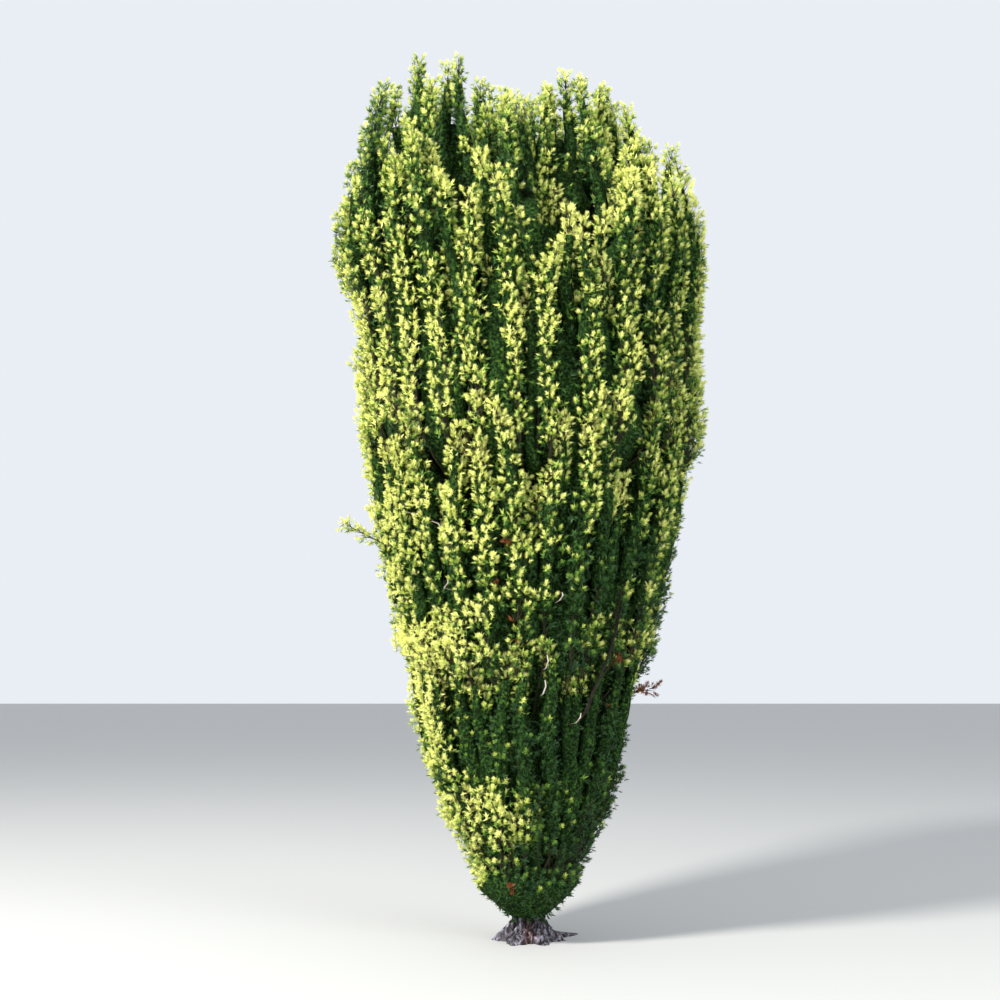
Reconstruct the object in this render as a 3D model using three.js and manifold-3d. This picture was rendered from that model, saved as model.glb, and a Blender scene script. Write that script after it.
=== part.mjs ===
// A golden Irish yew: a narrow upright evergreen on a short fluted trunk. Steep boughs rise inside the
// crown and carry dense columns of foliage, which stand in rings and taper to spires of different heights.
// Millimetres, +Z up. The origin is the centre of the flat cut at ground level. The front looks along -Y.
import * as THREE from "three";
import { mergeVertices } from "three/addons/utils/BufferGeometryUtils.js";
import Module from "manifold-3d";

const wasm = await Module();
wasm.setup();

const BARK_COLOUR = 0x8d8078;
const BOUGH_COLOUR = 0x6e5346;
const BARK_ROUGHNESS = 0.9;
const FOLIAGE_COLOUR = 0x9aa53a;
const SHADED_FOLIAGE_COLOUR = 0x6f8230;
const FOLIAGE_ROUGHNESS = 0.75;

// The crown's outline: [height, distance from the crown's middle to the furthest tips].
const CROWN_OUTLINE = [
  [150, 165], [250, 265], [380, 412], [560, 492], [800, 615], [1300, 775], [1900, 925],
  [2600, 1080], [3300, 1240], [4000, 1275], [4650, 1405], [5100, 1330], [5600, 1255], [6200, 1170],
];
// How far the crown's middle lies to the right of the trunk's axis: [height, distance].
const CROWN_LEAN = [[300, 0], [1400, -25], [2800, 15], [3600, 15], [4700, -45], [5200, -90]];

// The trunk: [height, mean radius], from the flat cut to the flat face that the boughs stand on.
const TRUNK_OUTLINE = [
  [0, 206], [25, 188], [60, 166], [110, 143], [165, 130], [225, 137], [280, 152],
];
const TRUNK_SIDES = 28;
const TRUNK_FLUTES = 6;
const FLUTE_SHARE = [0.2, 0.05]; // depth of the flutes as a share of the radius, at the ground and the top
const FLUTE_BUNCHING = 0.9; // how unevenly the flutes are spaced, and where they start, in radians
const FLUTE_START = 0.6;
const FOOT_OVAL = 0.06; // how far from round the foot is, and the way it is long, in radians
const FOOT_OVAL_START = 1.1;
// One root that runs on over the ground, in degrees and millimetres.
const SURFACE_ROOT = { azimuth: 32, reach: 215, height: 70, spread: 17 };

// Boughs: where they stand, as distances from the trunk's axis and heights.
const CLEAR = 0.3; // between a limb and what it grows from
const MAIN_BOUGHS = { count: 5, turn: [-90, -90], foot: [82, 280], tip: [262, 1250], radii: [44, 38] };
const UPPER_BOUGHS = { count: 5, turn: [-90, -78], foot: [250, 1250], tip: [500, 2720], radii: [23, 22] };
const LEADER = { turn: [0, 0], foot: [0, 280], tip: [0, 1400], radii: [36, 30] };
const UPPER_LEADER = { turn: [0, 0], foot: [0, 1400], tip: [0, 3060], radii: [26, 21] };
const BOUGH_SWELL = 0.035; // sideways swing of a bough, as a share of its length
const BOUGH_KNOTS = { share: 0.06, step: 2.4 }; // thick and thin places along it
const BOUGH_SIDES = 6;
const BOUGH_RINGS = 5;

// Rings of foliage columns. foot is [distance from the axis, height], girth is a column's largest half
// width, and footShare its share at the foot. stand is the distance from the axis that a column keeps to,
// and tips are the heights of the spires. full is the share of the height between which a column keeps its
// girth, and swing where it meets the outline. Its sprays stand in levels, around of them in each, within
// fan degrees of the way it faces. seat is what its stem stands on, how far out from the middle of that
// face, the angle between the columns that share a face, and the angle that the pair or three look along.
const RINGS = [
  {
    name: "skirt", count: 7, turn: -90, foot: [170, 190], girth: 268, stand: Infinity, footShare: 0.16,
    full: [0.3, 0.76], swing: 0.1, levels: 4, around: 3, fan: 60, colour: FOLIAGE_COLOUR,
    seat: { on: "trunk", out: 136 },
    tips: [2030, 2180, 1960, 2120, 2060, 2240, 2100],
  },
  {
    name: "flank", count: 10, turn: -108, foot: [330, 1290], girth: 285, stand: Infinity, footShare: 0.5,
    full: [0.3, 0.72], swing: 0.24, levels: 4, around: 3, fan: 56, colour: FOLIAGE_COLOUR,
    seat: { on: "main_bough", out: 25, apart: 84, facing: 0 },
    tips: [3560, 3700, 3850, 3560, 3900, 3620, 3760, 3540, 3980, 3660],
  },
  {
    name: "outer", count: 15, turn: -102, foot: [610, 2780], girth: 262, stand: Infinity, footShare: 0.5,
    full: [0.24, 0.6], swing: 0.2, levels: 5, around: 3, fan: 56, colour: FOLIAGE_COLOUR,
    seat: { on: "upper_bough", out: 13, apart: 62, facing: 0 },
    tips: [5070, 4700, 5250, 5420, 4960, 5900, 5950, 6000, 5900, 6020, 5960, 5740, 5500, 5870, 5420],
  },
  {
    name: "inner", count: 10, turn: -96, foot: [440, 3060], girth: 245, stand: 700, footShare: 0.6,
    full: [0.3, 0.66], swing: 0.3, levels: 1, around: 2, fan: 70, colour: SHADED_FOLIAGE_COLOUR,
    seat: { on: "upper_bough", out: 13, apart: -62, facing: 180 },
    tips: [5780, 5950, 6030, 6100, 6200, 6240, 6180, 6290, 6220, 6050],
  },
  {
    name: "centre", count: 3, turn: -30, foot: [130, 3300], girth: 240, stand: 255, footShare: 0.6,
    full: [0.3, 0.66], swing: 0.3, levels: 1, around: 2, fan: 180, colour: SHADED_FOLIAGE_COLOUR,
    seat: { on: "upper_leader", out: 11 },
    tips: [6100, 6240, 6140],
  },
];
const AZIMUTH_JITTER = 0.1; // of the spacing in a ring
const TIP_TAPER = 2.1;
const TIP_LEAST = 0.03; // a column's least half width, as a share of its girth
const STEM_RADIUS = 6;
const STEM_TAPER = [1, 0.8, 0.5]; // at its foot, halfway and at its end
const STEM_END = 0.12; // of the column's height
const CORE_SHARE = [0.98, 0.73]; // of a column's room that is packed with twigs, sideways and outwards
const CORE_LUMPS = { share: 0.03, along: 5 * Math.PI, around: 2.1 };
const CORE_LEAST = 6;
const CORE_SIDES = 8;
const CORE_RINGS = [0, 0.12, 0.32, 0.6, 0.84, 1]; // shares of the column's height
const CORE_TIP = [0.95, 0.3]; // the core ends at this share of the height and of its room there
const REACH_STEPS = 24; // in which the room around a column is felt out

// Sprays: toothed blades of shoots. Lengths are set by the room that a column has.
const SPRAY_RISE = [230, 330];
const SPRAY_SIZES = [1, 0.8, 0.6]; // tried in turn until one fits
const SPRAY_WIDTH = 0.48; // of its length
const SPRAY_THICKNESS = 0.1; // of its length
const SPRAY_ROLL = 0.9; // radians
const SPRAY_TEETH = [[0.5, 0.5], [0.6, 0.26]]; // along the spray, and out, as a share of the width
const SPRAY_ROOT = 22; // how deep a spray's root sits in the core
const SPRAY_ROOT_LEAST = 0.4; // of the core's reach
const SPRAY_SET_IN = 4; // between a spray's tip and the edge of its room
const SPRAY_BELOW_TIP = 20; // between the highest spray and its column's tip
const SPIRES = [[0, 0.78, 1], [0.62, 0.7, 0.95], [-0.58, 0.66, 0.91]]; // sideways, and from and to a share
const SPIRE_WIDTH = 0.24;
const SPIRE_ROLL = 1;
const SPIRE_ROOT = 0.5; // how much nearer the middle a spire's root stands than its tip
// Levels of sprays up a column, counted in levels: the first, how far each strays, and what is left free.
const LEVELS = { first: 0.35, stray: 0.3, free: 0.7 };
const LEVEL_TURNS = [0.25, 0.75]; // places that even and odd levels are turned by
const EDGE_PLACES = [0, 0.33, 0.67]; // along each edge of a spray, where its room is checked
const LEAST_STAND_OUT = 34; // a spray that would show less than this is left out
const SPACE_MARGIN = 9; // between a spray and the next column's space
const LIMB_MARGIN = 9;
const MARGINS_OVER_BOUGH = 3; // room above a bough's end, counted in margins
const COLUMN_AIR = 6; // between a column and its neighbours' stems and packed insides
const SHORTEST_EDGE = 0.4;
const SAME_POINT = 0.001; // points nearer than this are one
const MOST_PASSES = 6;
// A low sprig that reaches out past the outline on the left: a twig with three tufts at its end.
const SIDE_SPRIG = { ring: "flank", number: 9, height: 2640, rise: 70, twigReach: 1220, twigWidth: 0.2 };
const SPRIG_TUFTS = { from: 0.86, reach: 1310, setIn: 35, turn: 0.09, lift: 40, roll: 0.8 };

const radians = THREE.MathUtils.degToRad;
const lerp = THREE.MathUtils.lerp;
const clamp = THREE.MathUtils.clamp;
const smooth = (t) => THREE.MathUtils.smoothstep(t, 0, 1);

// A seeded row of numbers from 0 to 1.
function seeded(seed) {
  let state = seed >>> 0;
  return () => {
    state = (Math.imul(state, 1664525) + 1013904223) >>> 0;
    return state / 4294967296;
  };
}

// The value at a height, along an outline of [height, value] pairs.
function along(outline, z) {
  const last = outline.length - 1;
  if (z <= outline[0][0]) return outline[0][1];
  if (z >= outline[last][0]) return outline[last][1];
  const next = outline.findIndex(([height]) => height > z);
  const [z0, v0] = outline[next - 1];
  const [z1, v1] = outline[next];
  return lerp(v0, v1, (z - z0) / (z1 - z0));
}

function polar(azimuth, distance, z) {
  return new THREE.Vector3(distance * Math.cos(azimuth), distance * Math.sin(azimuth), z);
}

// A closed surface through rings of points that all have the same number of points.
function loft(rings) {
  const sides = rings[0].length;
  const points = rings.flat();
  const faces = [];
  for (let ring = 0; ring + 1 < rings.length; ring++) {
    for (let i = 0; i < sides; i++) {
      const a = ring * sides + i;
      const b = ring * sides + ((i + 1) % sides);
      faces.push(a, b, b + sides, a, b + sides, a + sides);
    }
  }
  const top = (rings.length - 1) * sides;
  const middle = (ring) => ring.reduce((sum, p) => sum.add(p), new THREE.Vector3()).divideScalar(sides);
  points.push(middle(rings[0]), middle(rings.at(-1)));
  for (let i = 0; i < sides; i++) {
    const next = (i + 1) % sides;
    faces.push(points.length - 2, next, i);
    faces.push(points.length - 1, top + i, top + next);
  }
  return solidFrom(points, faces);
}

function solidFrom(points, faces) {
  const geometry = new THREE.BufferGeometry();
  const positions = new Float32Array(points.flatMap((p) => [p.x, p.y, p.z]));
  geometry.setAttribute("position", new THREE.BufferAttribute(positions, 3));
  geometry.setIndex(faces);
  return solidOf(geometry);
}

function solidOf(geometry) {
  const merged = mergeVertices(geometry, SAME_POINT);
  return new wasm.Manifold(
    new wasm.Mesh({
      numProp: 3,
      vertProperties: merged.attributes.position.array,
      triVerts: new Uint32Array(merged.index.array),
    }),
  );
}

function geometryOf(solid) {
  const { numProp, vertProperties, triVerts } = solid.getMesh();
  const count = vertProperties.length / numProp;
  const positions = new Float32Array(count * 3);
  for (let i = 0; i < count; i++) {
    positions.set(vertProperties.subarray(i * numProp, i * numProp + 3), i * 3);
  }
  const geometry = new THREE.BufferGeometry();
  geometry.setAttribute("position", new THREE.BufferAttribute(positions, 3));
  geometry.setIndex(new THREE.BufferAttribute(triVerts, 1));
  return geometry;
}

function meshOf(name, solid, colour, roughness) {
  const material = new THREE.MeshStandardMaterial({ color: colour, roughness, metalness: 0 });
  const mesh = new THREE.Mesh(geometryOf(solid), material);
  mesh.name = name;
  return mesh;
}

// The largest piece of a fused solid, without loose scraps, hollows or edges too short to matter.
function wholePiece(solid) {
  const largest = (body) =>
    body.decompose().reduce((best, piece) => (piece.volume() > best.volume() ? piece : best));
  let whole = largest(solid.simplify(SHORTEST_EDGE));
  for (let pass = 0; pass < MOST_PASSES; pass++) {
    const again = solidOf(geometryOf(whole).toNonIndexed());
    if (again.decompose().length === 1) return whole;
    whole = largest(again);
  }
  return whole;
}

// The trunk's surface: flutes that deepen towards the ground, and one root that runs on.
function trunkPoint(azimuth, z) {
  const topHeight = TRUNK_OUTLINE.at(-1)[0];
  const depth = lerp(FLUTE_SHARE[0], FLUTE_SHARE[1], z / topHeight);
  const flutes = Math.cos(TRUNK_FLUTES * azimuth + FLUTE_BUNCHING * Math.sin(azimuth) + FLUTE_START);
  const oval = FOOT_OVAL * Math.sin(2 * azimuth + FOOT_OVAL_START) * (1 - z / topHeight);
  const round = along(TRUNK_OUTLINE, z) * (1 + depth * flutes + oval);
  const turned = azimuth - radians(SURFACE_ROOT.azimuth);
  const away = Math.atan2(Math.sin(turned), Math.cos(turned)) / radians(SURFACE_ROOT.spread);
  const low = clamp(1 - z / SURFACE_ROOT.height, 0, 1);
  return polar(azimuth, round + SURFACE_ROOT.reach * low * low * Math.exp(-(away ** 2)), z);
}

function trunkSolid(grown = 0) {
  const last = TRUNK_OUTLINE.length - 1;
  const rings = TRUNK_OUTLINE.map(([z], ring) =>
    Array.from({ length: TRUNK_SIDES }, (_, i) => {
      const azimuth = (2 * Math.PI * i) / TRUNK_SIDES;
      return trunkPoint(azimuth, z).add(polar(azimuth, grown, ring === last ? grown : 0));
    }),
  );
  return loft(rings);
}

// A bough: its centre and radius at any height from foot to tip. It turns round the trunk as it rises.
function boughOf(name, { turn, foot, tip, radii }, ahead, side) {
  const z0 = foot[1] + CLEAR;
  const z1 = tip[1];
  const swing = BOUGH_SWELL * (z1 - z0) * side;
  const [azimuth, tipAzimuth] = turn.map((degrees) => radians(degrees + ahead));
  const start = polar(azimuth, foot[0], 0);
  const end = polar(tipAzimuth, tip[0], 0);
  const centre = (z) => {
    const t = clamp((z - z0) / (z1 - z0), 0, 1);
    const middle = start.clone().lerp(end, t).setZ(z);
    return middle.add(polar(azimuth + Math.PI / 2, swing * Math.sin(Math.PI * t), 0));
  };
  const radius = (z) => lerp(radii[0], radii[1], clamp((z - z0) / (z1 - z0), 0, 1));
  return { name, azimuth: tipAzimuth, z0, z1, centre, radius };
}

function boughSolid(bough, grown = 0) {
  const rings = [];
  for (let ring = 0; ring < BOUGH_RINGS; ring++) {
    const z = lerp(bough.z0, bough.z1, ring / (BOUGH_RINGS - 1));
    const raised = grown * Math.sign(2 * ring - BOUGH_RINGS + 1);
    const centre = bough.centre(z).add(new THREE.Vector3(0, 0, raised));
    const isEnd = ring === 0 || ring === BOUGH_RINGS - 1;
    const swell = isEnd ? 0 : BOUGH_KNOTS.share * Math.sin(BOUGH_KNOTS.step * ring + bough.azimuth);
    rings.push(
      Array.from({ length: BOUGH_SIDES }, (_, i) =>
        polar((2 * Math.PI * i) / BOUGH_SIDES, bough.radius(z) * (1 + swell) + grown, 0).add(centre),
      ),
    );
  }
  return loft(rings);
}

function allBoughs() {
  const ringOf = (name, spec) =>
    Array.from({ length: spec.count }, (_, i) =>
      boughOf(`${name}_${i + 1}`, spec, (360 * i) / spec.count, i % 2 ? 1 : -1),
    );
  return [
    ...ringOf("main_bough", MAIN_BOUGHS),
    ...ringOf("upper_bough", UPPER_BOUGHS),
    boughOf("leader_bough", LEADER, 0, 0),
    boughOf("upper_leader_bough", UPPER_LEADER, 0, 0),
  ];
}

// Where a column's stem stands: on the trunk's top or on a bough's end face. Columns that share a bough
// stand on it by the angle between them, and a column alone on its face stands the way it looks.
function seatOf({ seat, count }, number, azimuth, boughs) {
  if (seat.on === "trunk") return polar(azimuth, seat.out, MAIN_BOUGHS.foot[1] + CLEAR);
  const bearers = boughs.filter((bough) => bough.name.startsWith(seat.on));
  const share = count / bearers.length;
  const bough = bearers[Math.floor(number / share)];
  const place = (number % share) - (share - 1) / 2;
  const direction = seat.apart ? bough.azimuth + radians(seat.facing + seat.apart * place) : azimuth;
  return bough.centre(bough.z1).add(polar(direction, seat.out, CLEAR));
}

// A column of foliage: its centre line, its half width, and the seat of its stem.
function columnOf(ring, number, boughs) {
  const random = seeded(101 * ring.count + 7 * number + 3);
  const spacing = 360 / ring.count;
  const azimuth = radians(ring.turn + spacing * (number + AZIMUTH_JITTER * (random() - 0.5)));
  const z0 = ring.foot[1];
  const z1 = ring.tips[number];
  const share = (z) => clamp((z - z0) / (z1 - z0), 0, 1);
  const halfWidth = (z) => {
    const t = share(z);
    const [from, to] = ring.full;
    if (t < from) return ring.girth * lerp(ring.footShare, 1, smooth(t / from));
    return ring.girth * Math.max(TIP_LEAST, 1 - clamp((t - to) / (1 - to), 0, 1) ** TIP_TAPER);
  };
  const centre = (z) => {
    const outer = Math.min(along(CROWN_OUTLINE, z) - halfWidth(z), ring.stand);
    const distance = lerp(ring.foot[0], outer, smooth(share(z) / ring.swing));
    return polar(azimuth, distance, z).add(new THREE.Vector3(along(CROWN_LEAN, z), 0, 0));
  };
  const name = `${ring.name}_foliage_${number + 1}`;
  const seat = seatOf(ring, number, azimuth, boughs);
  return { name, ring, number, azimuth, z0, z1, halfWidth, centre, seat, random };
}

// How far a point lies from a column's centre line, with 1 at the edge of its width.
function nearness(column, point) {
  if (point.z < column.z0 || point.z > column.z1) return Infinity;
  const centre = column.centre(point.z);
  return Math.hypot(point.x - centre.x, point.y - centre.y) / column.halfWidth(point.z);
}

// True where a point is in a column's own space, by a margin, and clear of every limb.
function hasRoom(column, point, plant, margin) {
  const own = nearness(column, point);
  const limit = margin / column.halfWidth(clamp(point.z, column.z0, column.z1));
  for (const other of plant.columns) {
    if (other === column) continue;
    if (nearness(other, point) < own + 2 * limit) return false;
  }
  for (const bough of plant.boughs) {
    if (point.z < bough.z0 - margin || point.z > bough.z1 + MARGINS_OVER_BOUGH * margin) continue;
    const centre = bough.centre(point.z);
    const away = Math.hypot(point.x - centre.x, point.y - centre.y);
    if (away < bough.radius(point.z) + LIMB_MARGIN + margin) return false;
  }
  if (point.z < TRUNK_OUTLINE.at(-1)[0] + margin) {
    const azimuth = Math.atan2(point.y, point.x);
    const surface = trunkPoint(azimuth, Math.max(point.z, 0));
    const least = Math.hypot(surface.x, surface.y) + LIMB_MARGIN + margin;
    if (Math.hypot(point.x, point.y) < least) return false;
  }
  return true;
}

// The furthest that a column reaches from its centre line at a height, in one direction.
function reachOf(column, z, direction, plant, margin) {
  const centre = column.centre(z);
  const most = column.halfWidth(z);
  for (let step = 1; step <= REACH_STEPS; step++) {
    const point = centre.clone().add(polar(direction, (most * step) / REACH_STEPS, 0));
    if (!hasRoom(column, point, plant, margin)) return (most * (step - 1)) / REACH_STEPS;
  }
  return most;
}

// How far the packed inside of a column reaches at a height, in one direction.
function coreReach(column, z, direction, plant) {
  const outwards = Math.max(0, Math.cos(direction - column.azimuth));
  const share = lerp(CORE_SHARE[0], CORE_SHARE[1], outwards);
  return share * reachOf(column, z, direction, plant, SPACE_MARGIN);
}

// The packed inside of a column, which the sprays stand out of.
function coreOf(column, plant, grown = 0) {
  const top = lerp(column.z0, column.z1, CORE_TIP[0]);
  const rings = CORE_RINGS.map((share) => {
    const narrowed = share === 1 ? CORE_TIP[1] : 1;
    const z = lerp(column.z0, top, share);
    const raised = grown * Math.sign(share - 0.5);
    const centre = column.centre(z).add(new THREE.Vector3(0, 0, raised));
    return Array.from({ length: CORE_SIDES }, (_, i) => {
      const direction = column.azimuth + (2 * Math.PI * i) / CORE_SIDES;
      const wave = Math.sin(CORE_LUMPS.along * share + CORE_LUMPS.around * i + column.number);
      const lumps = 1 + CORE_LUMPS.share * (wave - 1);
      const reach = narrowed * lumps * coreReach(column, z, direction, plant);
      return polar(direction, Math.max(CORE_LEAST, reach) + grown, 0).add(centre);
    });
  });
  return loft(rings);
}

// The stem from its seat up into the core, three-sided, with a flat foot. Its corners lie twice as far out
// as its sides, so they are grown by twice as much.
function stemOf(column, grown = 0) {
  const inside = column.centre(lerp(column.z0, column.z1, STEM_END));
  const halfway = column.seat.clone().lerp(inside, 0.5);
  const rings = [column.seat, halfway, inside].map((place, i) =>
    [0, 1, 2].map((side) => {
      const azimuth = column.azimuth + (2 * Math.PI * side) / 3;
      return polar(azimuth, STEM_RADIUS * STEM_TAPER[i] + 2 * grown, 0).add(place);
    }),
  );
  return loft(rings);
}

// A toothed blade from root to tip, thick along its middle. It faces a direction, and is turned by roll.
function sprayBlade(root, tip, direction, roll, width = SPRAY_WIDTH) {
  const length = root.distanceTo(tip);
  const forward = tip.clone().sub(root).normalize();
  const side = polar(direction, 1, 0).cross(forward).normalize().applyAxisAngle(forward, roll);
  const normal = forward.clone().cross(side);
  const at = (share, out, lift) =>
    root.clone()
      .addScaledVector(forward, share * length)
      .addScaledVector(side, out * width * length)
      .addScaledVector(normal, lift * SPRAY_THICKNESS * length);
  const right = SPRAY_TEETH.map(([share, out]) => at(share, out, 0));
  const left = SPRAY_TEETH.map(([share, out]) => at(share, -out, 0)).reverse();
  const outline = [at(0, 0, 0), ...right, at(1, 0, 0), ...left];
  const points = [...outline, at(0.5, 0, 0.5), at(0.5, 0, -0.5)];
  const faces = [];
  for (let i = 0; i < outline.length; i++) {
    const next = (i + 1) % outline.length;
    faces.push(next, i, outline.length);
    faces.push(i, next, outline.length + 1);
  }
  return { points, solid: solidFrom(points, faces) };
}

// True where a blade's edge, from its root round to its root again, keeps to its column's own space. The
// places next to its root are left out, since they lie inside the core.
function bladeFits(blade, column, plant) {
  const edge = blade.points.slice(0, -2);
  const places = edge.flatMap((point, i) =>
    EDGE_PLACES.map((share) => point.clone().lerp(edge[(i + 1) % edge.length], share)),
  );
  return places.slice(2, -1).every((place) => hasRoom(column, place, plant, SPACE_MARGIN));
}

// The sprays of one column: spires at its tip, and levels of sprays up its sides.
function spraysOf(column, plant) {
  const { random, ring } = column;
  const blades = [];
  for (const [sideways, from, to] of SPIRES) {
    const low = lerp(column.z0, column.z1, from);
    const high = lerp(column.z0, column.z1, to);
    const across = column.azimuth + Math.PI / 2;
    const rootOut = sideways * SPIRE_ROOT * column.halfWidth(low);
    const root = polar(across, rootOut, 0).add(column.centre(low));
    const tip = polar(across, sideways * column.halfWidth(high), 0).add(column.centre(high));
    const blade = sprayBlade(root, tip, column.azimuth, SPIRE_ROLL * (random() - 0.5), SPIRE_WIDTH);
    if (bladeFits(blade, column, plant)) blades.push(blade.solid);
  }
  for (let level = 0; level < ring.levels; level++) {
    for (let i = 0; i < ring.around; i++) {
      const rise = lerp(SPRAY_RISE[0], SPRAY_RISE[1], random());
      const place = (2 * (i + LEVEL_TURNS[level % 2])) / ring.around - 1;
      const direction = column.azimuth + radians(ring.fan) * place;
      const share = (level + LEVELS.first + LEVELS.stray * random()) / (ring.levels + LEVELS.free);
      const z = lerp(column.z0, column.z1, share);
      for (const size of SPRAY_SIZES) {
        const tipZ = Math.min(z + rise * size, column.z1 - SPRAY_BELOW_TIP);
        const reach = reachOf(column, tipZ, direction, plant, SPACE_MARGIN) - SPRAY_SET_IN;
        if (reach - coreReach(column, tipZ, direction, plant) < LEAST_STAND_OUT) continue;
        const packed = coreReach(column, z, direction, plant);
        const rootOut = Math.max(SPRAY_ROOT_LEAST * packed, packed - SPRAY_ROOT);
        const root = polar(direction, rootOut, 0).add(column.centre(z));
        const tip = polar(direction, reach, 0).add(column.centre(tipZ));
        const blade = sprayBlade(root, tip, direction, SPRAY_ROLL * (random() - 0.5));
        if (!bladeFits(blade, column, plant)) continue;
        blades.push(blade.solid);
        break;
      }
    }
  }
  return blades;
}

// The low sprig: a twig that leaves its column nearly level, with its tufts.
function sideSprig(column) {
  const { height, rise, twigReach, twigWidth } = SIDE_SPRIG;
  const { from, reach, setIn, turn, lift, roll } = SPRIG_TUFTS;
  const across = column.azimuth + Math.PI / 2;
  const root = column.centre(height - rise);
  const tip = polar(column.azimuth, twigReach, height);
  const twig = sprayBlade(root, tip, across, twigWidth);
  const tufts = [-1, 0, 1].map((place) => {
    const foot = root.clone().lerp(tip, from);
    const endZ = height + lift * (1 + place);
    const end = polar(column.azimuth + place * turn, reach - setIn * Math.abs(place), endZ);
    return sprayBlade(foot, end, across, roll * place).solid;
  });
  return [twig.solid, ...tufts];
}

// The limbs with some air around them, which only a column's own stem comes into.
function limbRoom(boughs) {
  return wasm.Manifold.union([
    trunkSolid(LIMB_MARGIN / 2),
    ...boughs.map((bough) => boughSolid(bough, LIMB_MARGIN / 2)),
  ]);
}

// One column, kept clear of the limbs, of its neighbours' stems and of their packed insides.
function columnSolid(column, plant) {
  const { difference, union } = wasm.Manifold;
  const others = plant.columns.filter((other) => other !== column);
  const earlier = plant.columns.slice(0, plant.columns.indexOf(column));
  const limbs = [plant.limbs, ...others.map((other) => other.stemRoom)];
  const core = difference([coreOf(column, plant), ...limbs, ...earlier.map((other) => other.coreRoom)]);
  const blades = spraysOf(column, plant);
  if (column.ring.name === SIDE_SPRIG.ring && column.number === SIDE_SPRIG.number - 1) {
    blades.push(...sideSprig(column));
  }
  const sprays = difference([union(blades), ...limbs, ...others.map((other) => other.coreRoom)]);
  return wholePiece(union([core, stemOf(column), sprays]));
}

function irishYew() {
  const group = new THREE.Group();
  group.add(meshOf("trunk", trunkSolid(), BARK_COLOUR, BARK_ROUGHNESS));
  const boughs = allBoughs();
  for (const bough of boughs) {
    group.add(meshOf(bough.name, boughSolid(bough), BOUGH_COLOUR, BARK_ROUGHNESS));
  }
  const columns = RINGS.flatMap((ring) =>
    Array.from({ length: ring.count }, (_, number) => columnOf(ring, number, boughs)),
  );
  const plant = { boughs, columns, limbs: limbRoom(boughs) };
  for (const column of columns) {
    column.coreRoom = coreOf(column, plant, COLUMN_AIR);
    column.stemRoom = stemOf(column, COLUMN_AIR);
  }
  for (const column of columns) {
    const solid = columnSolid(column, plant);
    group.add(meshOf(column.name, solid, column.ring.colour, FOLIAGE_ROUGHNESS));
  }
  return group;
}

export default irishYew();
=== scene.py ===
import itertools
import math
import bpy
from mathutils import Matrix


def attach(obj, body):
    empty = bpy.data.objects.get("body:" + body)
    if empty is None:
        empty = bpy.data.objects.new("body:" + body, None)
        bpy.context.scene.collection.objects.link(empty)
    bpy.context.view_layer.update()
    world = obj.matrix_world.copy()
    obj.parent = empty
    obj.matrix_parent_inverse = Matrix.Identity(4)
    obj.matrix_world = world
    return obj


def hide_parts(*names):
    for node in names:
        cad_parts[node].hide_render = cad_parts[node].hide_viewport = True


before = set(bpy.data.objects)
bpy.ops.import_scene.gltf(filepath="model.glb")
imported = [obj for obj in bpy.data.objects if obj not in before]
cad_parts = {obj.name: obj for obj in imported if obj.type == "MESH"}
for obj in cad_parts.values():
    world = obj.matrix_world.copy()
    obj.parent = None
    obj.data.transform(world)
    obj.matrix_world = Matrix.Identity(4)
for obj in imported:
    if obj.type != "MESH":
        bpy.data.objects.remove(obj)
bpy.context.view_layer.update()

from types import SimpleNamespace as Values

import bpy
import numpy as np
from mathutils import Vector

# A golden Irish yew in metres: bark over the trunk and boughs, and in place of each solid column of foliage
# upright leaders with ascending side twigs that end in shoots of needles.

MM = 0.001
FULL_TURN = 2 * math.pi
GOLDEN_ANGLE = math.radians(137.508)
UP = np.array([0.0, 0.0, 1.0])

# The plant's rule, with the names and numbers of the solid model (millimetres and degrees).
CROWN_OUTLINE = [
    (150, 165), (250, 265), (380, 412), (560, 492), (800, 615), (1300, 775), (1900, 925), (2600, 1080),
    (3300, 1240), (4000, 1275), (4650, 1405), (5100, 1330), (5600, 1255), (6200, 1170),
]
CROWN_LEAN = [(300, 0), (1400, -25), (2800, 15), (3600, 15), (4700, -45), (5200, -90)]
TRUNK_OUTLINE = [(0, 206), (25, 188), (60, 166), (110, 143), (165, 130), (225, 137), (280, 152)]
FLUTES = Values(count=6, share=(0.2, 0.05), bunching=0.9, start=0.6)
FOOT_OVAL = Values(share=0.06, start=1.1)
SURFACE_ROOT = Values(azimuth=32, reach=215, height=70, spread=17)
CLEAR = 0.3
MAIN_BOUGHS = Values(count=5, turn=(-90, -90), foot=(82, 280), tip=(262, 1250), radii=(44, 38))
UPPER_BOUGHS = Values(count=5, turn=(-90, -78), foot=(250, 1250), tip=(500, 2720), radii=(23, 22))
LEADER = Values(turn=(0, 0), foot=(0, 280), tip=(0, 1400), radii=(36, 30))
UPPER_LEADER = Values(turn=(0, 0), foot=(0, 1400), tip=(0, 3060), radii=(26, 21))
BOUGH_SWELL = 0.035
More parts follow.
